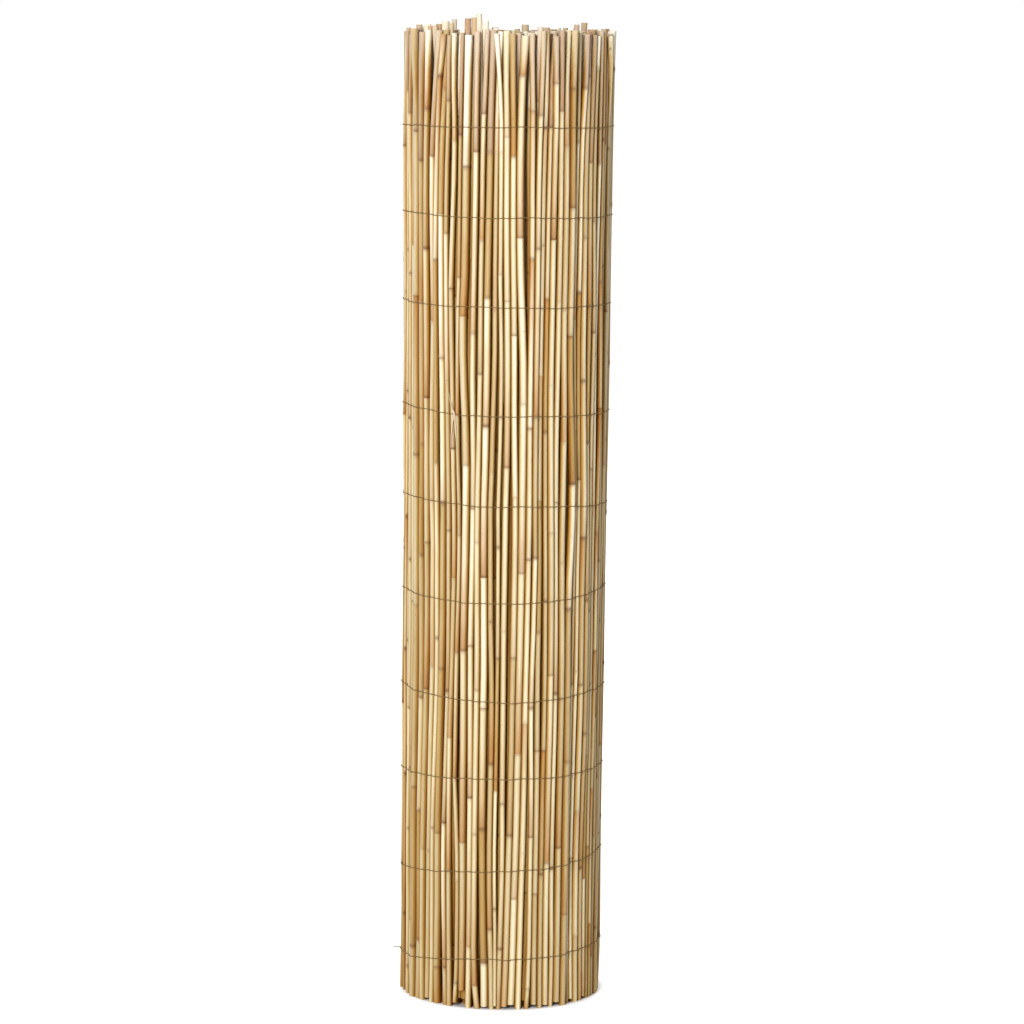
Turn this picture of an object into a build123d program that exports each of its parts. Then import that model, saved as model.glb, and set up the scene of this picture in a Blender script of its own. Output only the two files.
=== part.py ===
"""Reed screening fence, rolled up and standing on its end.

Reeds lie side by side and rows of wire bind them into one mat, which is wound into a spiral roll.
Millimetres and degrees. +Z is up along the reeds, the origin is on the roll's axis at its foot
and the front looks towards -Y.
"""

import math
import os

from build123d import *

# Mat, as it lies flat
mat_length = 4000.0
mat_height = 1000.0
reed_diameter = 6.6
reed_spacing = 6.6
valley_depth = 2.6  # from a thick reed's crest down to the line where it meets the next reed
thickness_spread = 0.6  # between the crests of the thickest and the thinnest reeds

# Roll
core_diameter = 58.0
turn_gap = 1.2  # air between two turns, wide enough for the wire
reeds_per_ridge = 3  # in the turns that the outer one hides
front_direction = 270.0  # counted from +X, as every direction on the roll
mat_end_direction = 178.0  # of the mat's outer end; the mat runs from there past the front

# Sawn ends of the reeds
tip_spread = 6.0  # between the lowest and the highest common reed
# Reeds of uneven length: degrees round from the front, then the rise above the common height
long_reeds = ((-69, 7), (-51, 8), (-44, 11), (-38, 9), (-30, 14), (-22, 15), (-18, 18), (-14, 12))
long_reeds += ((15, 6), (21, 6), (43, 9), (61, 4), (128, 9), (171, 6), (219, 11))
# The same for reeds that stop above the ground
short_reeds = ((-48, 4), (-28, 4), (-23, 18), (-11, 3), (-4, 4), (3, 4), (8, 5), (19, 4), (27, 3))
short_reeds += ((36, 5), (47, 4), (56, 3), (100, 6), (170, 8), (240, 5))

# Gaps between reeds of the outer turn
gap_width = 1.2
gap_length = 240.0
gap_end_room = 40.0  # least distance from a gap to the mat's foot and rim
gap_first = 1
gap_every = 5

# Where the even spread of each uneven size begins
thickness_start = 0.3
tip_start = 0.15
gap_start = 0.45

# Binding wires
wire_diameter = 0.8
wire_clearance = 0.1  # between the wire and the thickest reed
wire_rows = 10
lowest_wire_height = 53.0
highest_wire_margin = 94.0  # below the top of the mat
wire_row_shifts = (0.0, -2.5, -1.0, -16.0, -9.0, -4.0, -7.0, 8.5, 4.0, 0.0)  # tied by hand, so uneven
wire_runs = 20  # straight stretches in one turn of wire
loose_tail_length = 9.0  # cut end of the lowest wire, which sticks out

# What follows from these sizes
reed_radius = reed_diameter / 2
valley = reed_radius - valley_depth
turn_pitch = reed_diameter + turn_gap
core_middle_radius = core_diameter / 2 + reed_radius
end_middle_radius = math.sqrt(mat_length * turn_pitch / math.pi + core_middle_radius**2)
lowest_tip = mat_height - tip_spread / 2
wire_spacing = (mat_height - lowest_wire_height - highest_wire_margin) / (wire_rows - 1)
full_turn = 360.0
golden_ratio = (1 + math.sqrt(5)) / 2


def scatter(index, start):
    """Spread values evenly from 0 to 1 in no visible order, alike on every build."""
    return (index * golden_ratio + start) % 1


def middle_radius(turn_angle):
    """Radius of the mat's middle line at an angle inwards from the mat's outer end."""
    return end_middle_radius - turn_pitch * turn_angle / full_turn


def on_roll(turn_angle, outwards=0.0):
    """Point at a turn angle, moved outwards from the mat's middle line."""
    return Vector(middle_radius(turn_angle) + outwards, 0, 0).rotate(Axis.Z, mat_end_direction + turn_angle)


def inner_corner(turn_angle, reeds):
    """Corner of the mat's inner side, set so that a straight run over some reeds keeps the turn gap."""
    half_run = reeds * reed_spacing / middle_radius(turn_angle) / 2
    return on_roll(turn_angle, -reed_radius) * (1 / math.cos(half_run))


def reed_borders():
    """Turn angles of the lines between reeds, from the mat's outer end to its inner end."""
    angles = [0.0]
    for _ in range(round(mat_length / reed_spacing)):
        angles.append(angles[-1] + math.degrees(reed_spacing / middle_radius(angles[-1])))
    return angles


borders = reed_borders()
reed_count = len(borders) - 1
outer_reeds = sum(1 for border in borders if border <= full_turn) - 1


def crest(index):
    """How far a reed's outer side stands from the mat's middle line."""
    return reed_radius - thickness_spread * scatter(index, thickness_start)


def reed_middle(index):
    """Turn angle of the middle of a reed."""
    return (borders[index] + borders[index + 1]) / 2


def reed_at(from_front):
    """Number of the reed of the outer turn that stands at an angle from the front."""
    turn_angle = (front_direction + from_front - mat_end_direction) % full_turn
    return min(range(outer_reeds), key=lambda index: abs(reed_middle(index) - turn_angle))


long_rises = {reed_at(from_front): rise for from_front, rise in long_reeds}
short_rises = {reed_at(from_front): rise for from_front, rise in short_reeds}


def tip_height(index):
    """Height of the upper end of a reed in the outer turn."""
    if index in long_rises:
        return mat_height + long_rises[index]
    return lowest_tip + tip_spread * scatter(index, tip_start)


def wire_height(row):
    """Height of a row of wire, counted from the lowest row."""
    return lowest_wire_height + row * wire_spacing + wire_row_shifts[row]


def round_side(index):
    """Outer side of one reed of the outer turn."""
    start = on_roll(borders[index], valley)
    end = on_roll(borders[index + 1], valley)
    return ThreePointArc(start, on_roll(reed_middle(index), crest(index)), end)


def mat_section():
    """Spiral section of the mat: round reeds in the outer turn, plain ridges in the turns inside it."""
    round_sides = [round_side(index) for index in range(outer_reeds)]
    ridge_borders = borders[outer_reeds:reed_count:reeds_per_ridge] + borders[reed_count:]
    ridges = [on_roll(borders[outer_reeds], valley)]
    for start, end in zip(ridge_borders, ridge_borders[1:]):
        ridges.append(on_roll((start + end) / 2, reed_radius))
        ridges.append(on_roll(end, valley))
    inside = [inner_corner(border, reeds_per_ridge) for border in reversed(ridge_borders)]
    inside += [inner_corner(border, 1) for border in reversed(borders[:outer_reeds])]
    return make_face(round_sides + [Polyline(*ridges, *inside, on_roll(borders[0], valley))])


def reed_section(index):
    """Section of one reed of the outer turn."""
    start = borders[index]
    end = borders[index + 1]
    corners = (
        on_roll(end, valley),
        inner_corner(end, 1),
        inner_corner(start, 1),
        on_roll(start, valley),
    )
    return make_face([round_side(index), Polyline(*corners)])


def reed_gap(index):
    """Cutter for the gap between a reed and the next one, which passes behind the wire."""
    play = mat_height - 2 * gap_end_room - gap_length
    height = gap_end_room + gap_length / 2 + play * scatter(index, gap_start)
    border = borders[index + 1]
    place = Location(on_roll(border) + Vector(0, 0, height), (0, 0, mat_end_direction + border))
    return place * Box(reed_diameter + turn_gap, gap_width, gap_length)


def build_mat():
    """The rolled mat as one solid."""
    mat = extrude(mat_section(), lowest_tip)
    tips = []
    for index in range(outer_reeds):
        tips.append(Pos(0, 0, lowest_tip) * extrude(reed_section(index), tip_height(index) - lowest_tip))
    cuts = [extrude(reed_section(index), rise) for index, rise in short_rises.items()]
    cuts += [reed_gap(index) for index in range(gap_first, outer_reeds - 1, gap_every)]
    return mat + tips - cuts


def ribbon(points, width):
    """Flat strip of even width along points, with mitred corners."""
    left = []
    right = []
    for number, point in enumerate(points):
        before = point - points[number - 1] if number else points[1] - point
        after = points[number + 1] - point if number + 1 < len(points) else before
        along = (before.normalized() + after.normalized()).normalized()
        reach = width / 2 / math.cos(math.radians(before.get_angle(after) / 2))
        side = along.rotate(Axis.Z, 90) * reach
        left.append(point + side)
        right.append(point - side)
    return make_face(Polyline(*left, *reversed(right), close=True))


def build_wire(row):
    """One row of wire round the outer turn, straight from one thick reed to the next."""
    first = borders[1]
    run_angle = (borders[outer_reeds - 1] - first) / wire_runs
    stand_off = reed_radius + wire_clearance + wire_diameter / 2
    corner_reach = 1 / math.cos(math.radians(run_angle / 2))
    turn_angles = [first + number * run_angle for number in range(wire_runs + 1)]
    corners = [on_roll(turn_angle, stand_off) * corner_reach for turn_angle in turn_angles]
    if row == 0:
        corners.insert(0, corners[0] + corners[0].normalized() * loose_tail_length)
    strip = extrude(ribbon(corners, wire_diameter), wire_diameter)
    return Pos(0, 0, wire_height(row) - wire_diameter / 2) * strip


os.makedirs("parts", exist_ok=True)
export_step(build_mat(), "parts/reed_mat.step")
for row in range(wire_rows):
    export_step(build_wire(row), f"parts/binding_wire_{row + 1:02d}.step")
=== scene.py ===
"""Looks of a rolled reed fence in the CAD model's frame: reeds, wire, a split sheath and a stage."""

import math
import random

import bpy
import numpy as np
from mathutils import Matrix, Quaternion, Vector


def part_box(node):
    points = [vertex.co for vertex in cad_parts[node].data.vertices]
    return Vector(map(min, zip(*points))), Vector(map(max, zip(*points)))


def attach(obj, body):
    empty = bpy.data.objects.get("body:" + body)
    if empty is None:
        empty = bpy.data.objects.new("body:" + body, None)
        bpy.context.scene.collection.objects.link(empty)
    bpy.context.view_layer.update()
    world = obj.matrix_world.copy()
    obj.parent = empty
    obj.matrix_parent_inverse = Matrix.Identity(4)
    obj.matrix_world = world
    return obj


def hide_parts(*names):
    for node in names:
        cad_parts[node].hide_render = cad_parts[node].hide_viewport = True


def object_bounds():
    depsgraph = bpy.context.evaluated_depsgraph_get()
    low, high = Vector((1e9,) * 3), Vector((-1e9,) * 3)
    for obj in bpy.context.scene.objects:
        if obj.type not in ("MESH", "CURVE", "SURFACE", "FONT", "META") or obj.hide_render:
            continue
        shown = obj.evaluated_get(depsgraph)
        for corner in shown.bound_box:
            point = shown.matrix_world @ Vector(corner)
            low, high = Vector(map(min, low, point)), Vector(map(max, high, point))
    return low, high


bl_info = {
    "name": "Rolled reed fence",
    "version": (1, 0, 0),
    "blender": (4, 5, 0),
    "location": "3D View > Sidebar > Reed fence",
    "description": "Builds the reeds, wire and stage of a rolled reed fence round its CAD model",
    "category": "Mesh",
}

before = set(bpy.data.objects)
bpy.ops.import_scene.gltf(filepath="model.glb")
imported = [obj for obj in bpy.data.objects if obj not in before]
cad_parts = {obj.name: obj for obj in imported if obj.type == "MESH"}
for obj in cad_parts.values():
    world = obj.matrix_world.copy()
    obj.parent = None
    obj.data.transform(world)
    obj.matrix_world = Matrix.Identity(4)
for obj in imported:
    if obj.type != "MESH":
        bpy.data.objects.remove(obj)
cad_low, cad_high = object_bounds()

MM = 0.001
BODY = "root"
MAT_NODE = "reed_mat"
WIRE_NODES = sorted(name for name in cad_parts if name.startswith("binding_wire"))
FRONT = math.radians(270)


# Settings that a user would change


class ReedMatSettings(bpy.types.PropertyGroup):
    """Sizes of the mat and of its roll"""

    mat_length: bpy.props.FloatProperty(
        name="Mat length", description="Length of the mat when it lies flat", default=4.0, unit="LENGTH"
    )
    rim_height: bpy.props.FloatProperty(
        name="Rim height", description="Usual height of the sawn upper ends", default=1.0, unit="LENGTH"
    )
    reed_spacing: bpy.props.FloatProperty(
        name="Reed spacing",
        description="Usual distance from reed to reed",
        default=7.0 * MM,
        unit="LENGTH",
    )
    reed_width: bpy.props.FloatProperty(
        name="Reed width", description="Usual width of a reed", default=6.25 * MM, unit="LENGTH"
    )
    turn_pitch: bpy.props.FloatProperty(
        name="Turn pitch",
        description="Distance from one turn of the roll to the next",
        default=7.8 * MM,
        unit="LENGTH",
    )
    core_width: bpy.props.FloatProperty(
        name="Core width",
        description="Width of the innermost turn, middle to middle",
        default=64.6 * MM,
        unit="LENGTH",
    )
    end_direction: bpy.props.FloatProperty(
        name="End direction",
        description="Where the mat's outer end lies, counted from +X",
        default=math.radians(178),
        subtype="ANGLE",
    )
    flare: bpy.props.FloatProperty(
        name="Flare",
        description="Share by which the roll is wider at the rim than halfway",
        default=0.021,
    )
    tip_spread: bpy.props.FloatProperty(
        name="Tip spread",
        description="Unevenness of the sawn upper ends",
        default=7 * MM,
        unit="LENGTH",
    )
    bundle_lean: bpy.props.FloatProperty(
        name="Bundle lean",
        description="How far a few neighbouring reeds stray together",
        default=2.0 * MM,
        unit="LENGTH",
    )
    kink: bpy.props.FloatProperty(
        name="Kink", description="How far one reed strays at a joint", default=2.1 * MM, unit="LENGTH"
    )
    splay: bpy.props.FloatProperty(
        name="Splay", description="How far the free upper ends stray", default=3.6 * MM, unit="LENGTH"
    )
    seed: bpy.props.IntProperty(name="Seed", description="Start of the seeded variation", default=11)


class ReedFinishSettings(bpy.types.PropertyGroup):
    """Colours of the reeds, and of the painted shade on them"""

    tan: bpy.props.FloatVectorProperty(
        name="Tan", description="Darkest skin", default=(0.50, 0.35, 0.15), subtype="COLOR", size=3
    )
    straw: bpy.props.FloatVectorProperty(
        name="Straw", description="Usual skin", default=(0.665, 0.58, 0.405), subtype="COLOR", size=3
    )
    cream: bpy.props.FloatVectorProperty(
        name="Cream", description="Pale skin", default=(0.86, 0.80, 0.63), subtype="COLOR", size=3
    )
    bleached: bpy.props.FloatVectorProperty(
        name="Bleached", description="Palest skin", default=(0.92, 0.88, 0.77), subtype="COLOR", size=3
    )
    sheath_stain: bpy.props.FloatVectorProperty(
        name="Sheath stain",
        description="Brown left by a leaf sheath",
        default=(0.50, 0.265, 0.085),
        subtype="COLOR",
        size=3,
    )
    rim_blush: bpy.props.FloatVectorProperty(
        name="Rim blush",
        description="Pinkish brown near the rim",
        default=(0.42, 0.275, 0.19),
        subtype="COLOR",
        size=3,
    )
    joint_ring: bpy.props.FloatVectorProperty(
        name="Joint ring",
        description="Dark ring at a joint",
        default=(0.20, 0.10, 0.06),
        subtype="COLOR",
        size=3,
    )
    # Painted shade: brown multiplied onto the flanks of each reed
    flank_painted_shade: bpy.props.FloatVectorProperty(
        name="Flank tint",
        description="Shade on the flanks of a reed",
        default=(0.66, 0.53, 0.295),
        subtype="COLOR",
        size=3,
    )
    # Painted shade: dark brown multiplied deep between reeds and over the inner turns
    groove_painted_shade: bpy.props.FloatVectorProperty(
        name="Groove tint",
        description="Shade deep between reeds",
        default=(0.40, 0.18, 0.006),
        subtype="COLOR",
        size=3,
    )
    foot_tint: bpy.props.FloatVectorProperty(
        name="Foot tint",
        description="Yellowing towards the foot",
        default=(0.94, 0.91, 0.81),
        subtype="COLOR",
        size=3,
    )
    sheath_skin: bpy.props.FloatVectorProperty(
        name="Sheath skin",
        description="Papery split sheath",
        default=(0.58, 0.40, 0.27),
        subtype="COLOR",
        size=3,
    )
    pith: bpy.props.FloatVectorProperty(
        name="Pith",
        description="Sawn wall of a reed",
        default=(0.50, 0.36, 0.19),
        subtype="COLOR",
        size=3,
    )


class WireSettings(bpy.types.PropertyGroup):
    """Sizes and colours of the binding wire"""

    width: bpy.props.FloatProperty(
        name="Wire width", description="Diameter", default=0.9 * MM, unit="LENGTH"
    )
    wave: bpy.props.FloatProperty(
        name="Wave",
        description="Up and down of a row between its reeds",
        default=0.4 * MM,
        unit="LENGTH",
    )
    tail: bpy.props.FloatProperty(
        name="Loose tail", description="Cut end of the lowest row", default=9 * MM, unit="LENGTH"
    )
    steel: bpy.props.FloatVectorProperty(
        name="Steel",
        description="Dull annealed steel",
        default=(0.15, 0.10, 0.04),
        subtype="COLOR",
        size=3,
    )
    rust: bpy.props.FloatVectorProperty(
        name="Rust", description="Faint rust", default=(0.22, 0.13, 0.045), subtype="COLOR", size=3
    )


class StageSettings(bpy.types.PropertyGroup):
    """Camera and light"""

    distance: bpy.props.FloatProperty(
        name="Distance", description="Camera to the roll's axis", default=4.2, unit="LENGTH"
    )
    eye_height: bpy.props.FloatProperty(
        name="Eye height", description="Camera above the floor", default=1.06, unit="LENGTH"
    )
    aim_side: bpy.props.FloatProperty(
        name="Aim side", description="Aim to the right of the axis", default=5.9 * MM, unit="LENGTH"
    )
    aim_height: bpy.props.FloatProperty(
        name="Aim height", description="Aim above the floor", default=504.0 * MM, unit="LENGTH"
    )
    lens: bpy.props.FloatProperty(name="Lens", description="Focal length in millimetres", default=143.3)
    tilt: bpy.props.FloatProperty(
        name="Tilt",
        description="Turn about the line of sight",
        default=math.radians(0.628),
        subtype="ANGLE",
    )
    key_power: bpy.props.FloatProperty(
        name="Key light", description="Softbox on the left", default=272.0, unit="POWER"
    )
    fill_power: bpy.props.FloatProperty(
        name="Fill light", description="Softbox on the right", default=50.0, unit="POWER"
    )
    back_power: bpy.props.FloatProperty(
        name="Back light", description="Softbox behind the roll", default=170.0, unit="POWER"
    )
    ambient: bpy.props.FloatProperty(name="Ambient", description="Even light from all round", default=0.13)


class ReedFenceSettings(bpy.types.PropertyGroup):
    """All settings of the rolled reed fence"""

    mat: bpy.props.PointerProperty(type=ReedMatSettings)
    finish: bpy.props.PointerProperty(type=ReedFinishSettings)
    wire: bpy.props.PointerProperty(type=WireSettings)
    stage: bpy.props.PointerProperty(type=StageSettings)


# Layout of the reeds

# Levels at which the line of a reed is worked out
LEVEL_COUNT = 27
TOP_LEVEL = 1.03
LEVELS = np.linspace(0.0, TOP_LEVEL, LEVEL_COUNT)
HALFWAY = 0.5

# Width of a reed against the usual one, and the share by which it thins upwards
WIDTH_RANGE = (0.70, 1.34)
WIDTH_SPREAD = 0.17
THINNING = (0.04, 0.2)
THINNING_WAYS = (1, 1, 1, -1)
UPSIDE_DOWN_SHARE = 0.2

# Heights and spacing of the joints
TOP_JOINT = (0.865, 0.965)
JOINT_SPACING = (0.125, 0.185)
JOINT_UNEVENNESS = (0.82, 1.15)
LOWEST_JOINT = 0.02
JOINT_END_ROOM = 9 * MM

# How a reed strays from its place: the free ends, shares of the kink and the splay, depths in millimetres
FREE_TOP = 0.89
FREE_TOP_SHARE = np.clip((LEVELS - FREE_TOP) / (TOP_LEVEL - FREE_TOP), 0, 1)
FREE_FOOT = 0.07
FREE_FOOT_SHARE = np.clip(1 - LEVELS / FREE_FOOT, 0, 1)
MOST_STRAY = 2.0
OUT_KINK_SHARE = 0.2
FOOT_SPLAY_SHARE = 0.2
TOP_OUT_SHARE = 0.25
DEPTHS = (-0.3, -0.3, -0.5, -0.8, 0.0, 0.3, -1.6)
INNER_DROP = 2 * MM
INNER_RISE = 0.7 * MM

# Colour values, all from 0 to 1
USUAL_TONE = 0.48
TONE_SPREAD = 0.16
STRETCH_TONE_SPREAD = 0.12
PALE_SHARE = 0.10
PALE_TONES = (0.82, 1.0)
PALE_TOP_SHARE = 0.3
DARK_SHARE = 0.10
DARK_TONES = (0.0, 0.12)
STAINS = (0.1, 0.2, 0.35, 0.7, 1.0)
RING_MARKS = (0.2, 0.35, 0.55, 0.8, 1.0)
BLUSH_SHARE = 0.5
BLUSHES = (0.5, 1.0)


def random_stray(rng, spread):
    """Random stray to either side, held within bounds."""
    return max(-MOST_STRAY * spread, min(MOST_STRAY * spread, rng.gauss(0, spread)))


def random_tone(rng, middle, spread):
    """Paleness from 0 to 1 about a middle value."""
    return min(1.0, max(0.0, rng.gauss(middle, spread)))


class Reed:
    """One reed: where it stands in the roll, how it leans and how it is coloured."""

    def __init__(self, mat, rng, along, turn_angle, radius, width):
        self.along = along
        self.turn_angle = turn_angle
        self.direction = mat.end_direction + turn_angle
        self.radius = radius
        self.half_width = width / 2
        self.turn = int(turn_angle // math.tau)
        self.foot = 0.0
        self.top = mat.rim_height + mat.tip_spread * (rng.random() - 0.5) - (INNER_DROP if self.turn else 0)
        self.upside_down = rng.random() < UPSIDE_DOWN_SHARE
        self.thinning = rng.uniform(*THINNING) * rng.choice(THINNING_WAYS)
        self.joints = self.joint_heights(rng)
        stretches = len(self.joints) + 1
        self.side_kinks = [random_stray(rng, mat.kink) for _ in range(stretches + 1)]
        self.out_kinks = [random_stray(rng, OUT_KINK_SHARE * mat.kink) for _ in range(stretches + 1)]
        self.top_splay = random_stray(rng, mat.splay)
        self.foot_splay = random_stray(rng, FOOT_SPLAY_SHARE * mat.splay)
        self.top_out = random_stray(rng, TOP_OUT_SHARE * mat.splay)
        self.depth = rng.choice(DEPTHS) * MM + (INNER_RISE if self.turn else 0)
        usual_tone = random_tone(rng, USUAL_TONE, TONE_SPREAD)
        self.tones = [random_tone(rng, usual_tone, STRETCH_TONE_SPREAD) for _ in range(stretches)]
        for number in range(stretches):
            if rng.random() < PALE_SHARE:
                self.tones[number] = rng.uniform(*PALE_TONES)
            elif rng.random() < DARK_SHARE:
                self.tones[number] = rng.uniform(*DARK_TONES)
        self.stains = [rng.choice(STAINS) for _ in range(stretches)]
        self.ring_marks = [rng.choice(RING_MARKS) for _ in range(stretches)]
        self.blush = rng.uniform(*BLUSHES) if rng.random() < BLUSH_SHARE else 0.0
        if not self.blush and rng.random() < PALE_TOP_SHARE:
            self.tones[-1] = rng.uniform(*PALE_TONES)
        self.side = np.zeros(LEVEL_COUNT)
        self.out = np.zeros(LEVEL_COUNT)

    def joint_heights(self, rng):
        """Heights of the reed's joints from its foot up, unevenly spaced."""
        heights = []
        height = rng.uniform(*TOP_JOINT)
        stride = rng.uniform(*JOINT_SPACING)
        while height > LOWEST_JOINT:
            heights.append(height)
            height -= stride * rng.uniform(*JOINT_UNEVENNESS)
        return heights[::-1]

    def knot_heights(self):
        """Heights of both ends and of the joints between them."""
        inner = [z for z in self.joints if self.foot + JOINT_END_ROOM < z < self.top - JOINT_END_ROOM]
        return [self.foot, *inner, self.top]

    def half_widths(self, heights):
        """Half the reed's width at heights."""
        return self.half_width * (1 - self.thinning * (heights - HALFWAY))

    def wanted_line(self):
        """Sideways and outward shift that the reed would take if it stood alone, at each level."""
        knots = [0.0, *self.joints, TOP_LEVEL]
        side = np.interp(LEVELS, knots, self.side_kinks)
        side += self.top_splay * FREE_TOP_SHARE
        side += self.foot_splay * FREE_FOOT_SHARE
        out = np.interp(LEVELS, knots, self.out_kinks) + self.depth + self.top_out * FREE_TOP_SHARE
        return side, out


# Tall reeds of the second turn: degrees from the front, millimetres above the rim, share of blush
TALL_REEDS = (
    (-68.7, 6.6, 0.8),
    (-51.4, 7.7, 0.6),
    (-43.6, 10.7, 0.2),
    (-38.2, 8.7, 0.3),
    (-29.8, 13.8, 0.9),
    (-22.1, 14.8, 0.3),
    (-18.4, 18.4, 0.4),
    (-13.5, 11.8, 0.1),
    (15.3, 6.1, 0.6),
    (20.8, 5.6, 0.8),
    (42.8, 8.7, 0.9),
    (60.7, 3.6, 0.5),
    (128.0, 9.0, 0.8),
    (171.0, 6.0, 0.4),
    (-141.0, 11.0, 0.6),
)
# Degrees from the front between which the second turn stands above the rim
TALL_SIDE = (-62, -10)
TALL_RISE = (3 * MM, 8 * MM)
# Short reeds: degrees from the front, millimetres from the ground to the foot
SHORT_REEDS = (
    (-47.7, 3.5),
    (-28.0, 4.0),
    (-23.3, 18.0),
    (-10.7, 3.0),
    (-4.0, 4.0),
    (2.5, 3.5),
    (8.4, 5.0),
    (19.0, 4.0),
    (27.0, 3.0),
    (36.0, 4.5),
    (47.0, 4.0),
    (56.0, 3.0),
    (100.0, 6.0),
    (170.0, 8.0),
    (-120.0, 5.0),
)
# Degrees aside from a short reed at which reeds of the second turn are short as well
SHORT_BEHIND = (-3.0, 0.0, 3.0)
SHORT_BEHIND_FOOT = 8 * MM

# Reeds whose free tops lean across their neighbours: degrees from the front, then millimetres at the rim
LEANING_REEDS = (
    (-62, -5),
    (-47, 13),
    (-42, 10),
    (-20, 4),
    (-3, -5),
    (3, -5),
    (14, 2),
    (25, -6),
    (30, -6),
    (37, -4),
    (68, 11),
    (75, -10),
    (110, 9),
    (150, -11),
    (200, 8),
    (235, -7),
)
LEANING_OUT = 3.4 * MM


def lay_out_reeds(mat):
    """All reeds of the roll, turn by turn from the mat's outer end to its inner end."""
    rng = random.Random(mat.seed)
    core_radius = mat.core_width / 2
    end_radius = math.sqrt(mat.mat_length * mat.turn_pitch / math.pi + core_radius**2)
    clearance = mat.reed_spacing - mat.reed_width
    reeds = []
    along = 0.0
    angle = 0.0
    width = mat.reed_width
    while along < mat.mat_length - mat.reed_spacing:
        next_width = mat.reed_width * min(WIDTH_RANGE[1], max(WIDTH_RANGE[0], rng.gauss(1.0, WIDTH_SPREAD)))
        stride = (width + next_width) / 2 + clearance
        along += stride
        angle += stride / (end_radius - mat.turn_pitch * angle / math.tau)
        width = next_width
        reeds.append(Reed(mat, rng, along, angle, end_radius - mat.turn_pitch * angle / math.tau, width))
    turns = [[reed for reed in reeds if reed.turn == turn] for turn in range(reeds[-1].turn + 1)]
    for degrees, lean in LEANING_REEDS:
        reed = nearest_reed(turns[0], degrees)
        reed.top_splay = lean * MM
        reed.top_out = LEANING_OUT
    for turn in turns:
        settle(mat, rng, turn)
    for reed in turns[1]:
        if TALL_SIDE[0] < math.degrees(math.remainder(reed.direction - FRONT, math.tau)) < TALL_SIDE[1]:
            reed.top = mat.rim_height + rng.uniform(*TALL_RISE)
    for degrees, rise, blush in TALL_REEDS:
        tall = nearest_reed(turns[1], degrees)
        tall.top = mat.rim_height + rise * MM
        tall.blush = blush
    for degrees, rise in SHORT_REEDS:
        nearest_reed(turns[0], degrees).foot = rise * MM
        for aside in SHORT_BEHIND:
            nearest_reed(turns[1], degrees + aside).foot = SHORT_BEHIND_FOOT
    return turns


def nearest_reed(reeds, degrees_from_front):
    """Reed whose direction is nearest to an angle from the front."""
    wanted = FRONT + math.radians(degrees_from_front)
    return min(reeds, key=lambda reed: abs(math.remainder(reed.direction - wanted, math.tau)))


# How the reeds of a turn come to lie side by side
SETTLE_ROUNDS = 60
SETTLE_PULL = 0.06
LEAST_OUT = -1.9 * MM
MOST_OUT = 1.5 * MM + 3.5 * MM * FREE_TOP_SHARE
LEAST_GAP = 0.35 * MM
LEAST_DISTANCE = 0.1 * MM
NEIGHBOURS = (2, 1)
REEDS_PER_BUNDLE = 3.5
BUNDLE_LENGTH = 0.17


def shared_stray(mat, rng, count):
    """Sideways stray that neighbouring reeds share, for each reed and level."""
    columns = int(count / REEDS_PER_BUNDLE) + 2
    rows = int(mat.rim_height / BUNDLE_LENGTH) + 2
    grid = [[rng.gauss(0, mat.bundle_lean) for _ in range(rows)] for _ in range(columns)]
    level_rows = np.linspace(0, rows - 1, LEVEL_COUNT)
    by_level = np.array([np.interp(level_rows, range(rows), line) for line in grid])
    reed_columns = np.linspace(0, columns - 1, count)
    return np.array([np.interp(reed_columns, range(columns), level) for level in by_level.T]).T


def settle(mat, rng, reeds):
    """Let the reeds of one turn stray from their places in order, pushed apart where they meet."""
    place = np.array([reed.along for reed in reeds])[:, None]
    half = np.array([reed.half_widths(LEVELS) for reed in reeds])
    wanted = [reed.wanted_line() for reed in reeds]
    wanted_side = place + np.array([side for side, out in wanted]) + shared_stray(mat, rng, len(reeds))
    wanted_out = np.array([out for side, out in wanted])
    side = place + np.zeros(LEVEL_COUNT)
    out = wanted_out.copy()
    for _ in range(SETTLE_ROUNDS):
        side += SETTLE_PULL * (wanted_side - side)
        out += SETTLE_PULL * (wanted_out - out)
        for apart in NEIGHBOURS:
            across = side[apart:] - side[:-apart]
            outward = out[apart:] - out[:-apart]
            distance = np.maximum(np.hypot(across, outward), LEAST_DISTANCE)
            push = np.maximum(half[apart:] + half[:-apart] + LEAST_GAP - distance, 0) / 2 / distance
            side[apart:] += push * across
            side[:-apart] -= push * across
            out[apart:] += push * outward
            out[:-apart] -= push * outward
        out = np.clip(out, LEAST_OUT, MOST_OUT)
    for number, reed in enumerate(reeds):
        reed.side = side[number] - place[number]
        reed.out = out[number]


def reed_line(mat, reed, heights):
    """Points of a reed's middle line at heights, and its outward and sideways directions."""
    widening = 1 + mat.flare * (2 * heights / mat.rim_height - 1)
    radius = (reed.radius + np.interp(heights, LEVELS, reed.out)) * widening
    angle = reed.direction + np.interp(heights, LEVELS, reed.side) / reed.radius
    outward = np.stack([np.cos(angle), np.sin(angle), np.zeros_like(angle)], axis=1)
    sideways = np.stack([-np.sin(angle), np.cos(angle), np.zeros_like(angle)], axis=1)
    points = outward * radius[:, None]
    points[:, 2] = heights
    return points, outward, sideways


# Mesh of the reeds

# Rings at a joint: offset from it, swelling, darkness, and whether the ring belongs to the stretch above
JOINT_RINGS = (
    (-5.0 * MM, 1.0, 0.0, False),
    (-1.8 * MM, 1.04, 0.4, False),
    (-0.6 * MM, 1.09, 0.9, False),
    (0.6 * MM, 1.09, 1.0, True),
    (3.8 * MM, 1.02, 0.3, True),
)
PLAIN_JOINT_RINGS = (
    (-2.0 * MM, 1.0, 0.0, False),
    (-0.4 * MM, 1.05, 1.0, False),
    (0.4 * MM, 1.05, 0.9, True),
    (2.0 * MM, 1.0, 0.0, True),
)
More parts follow.
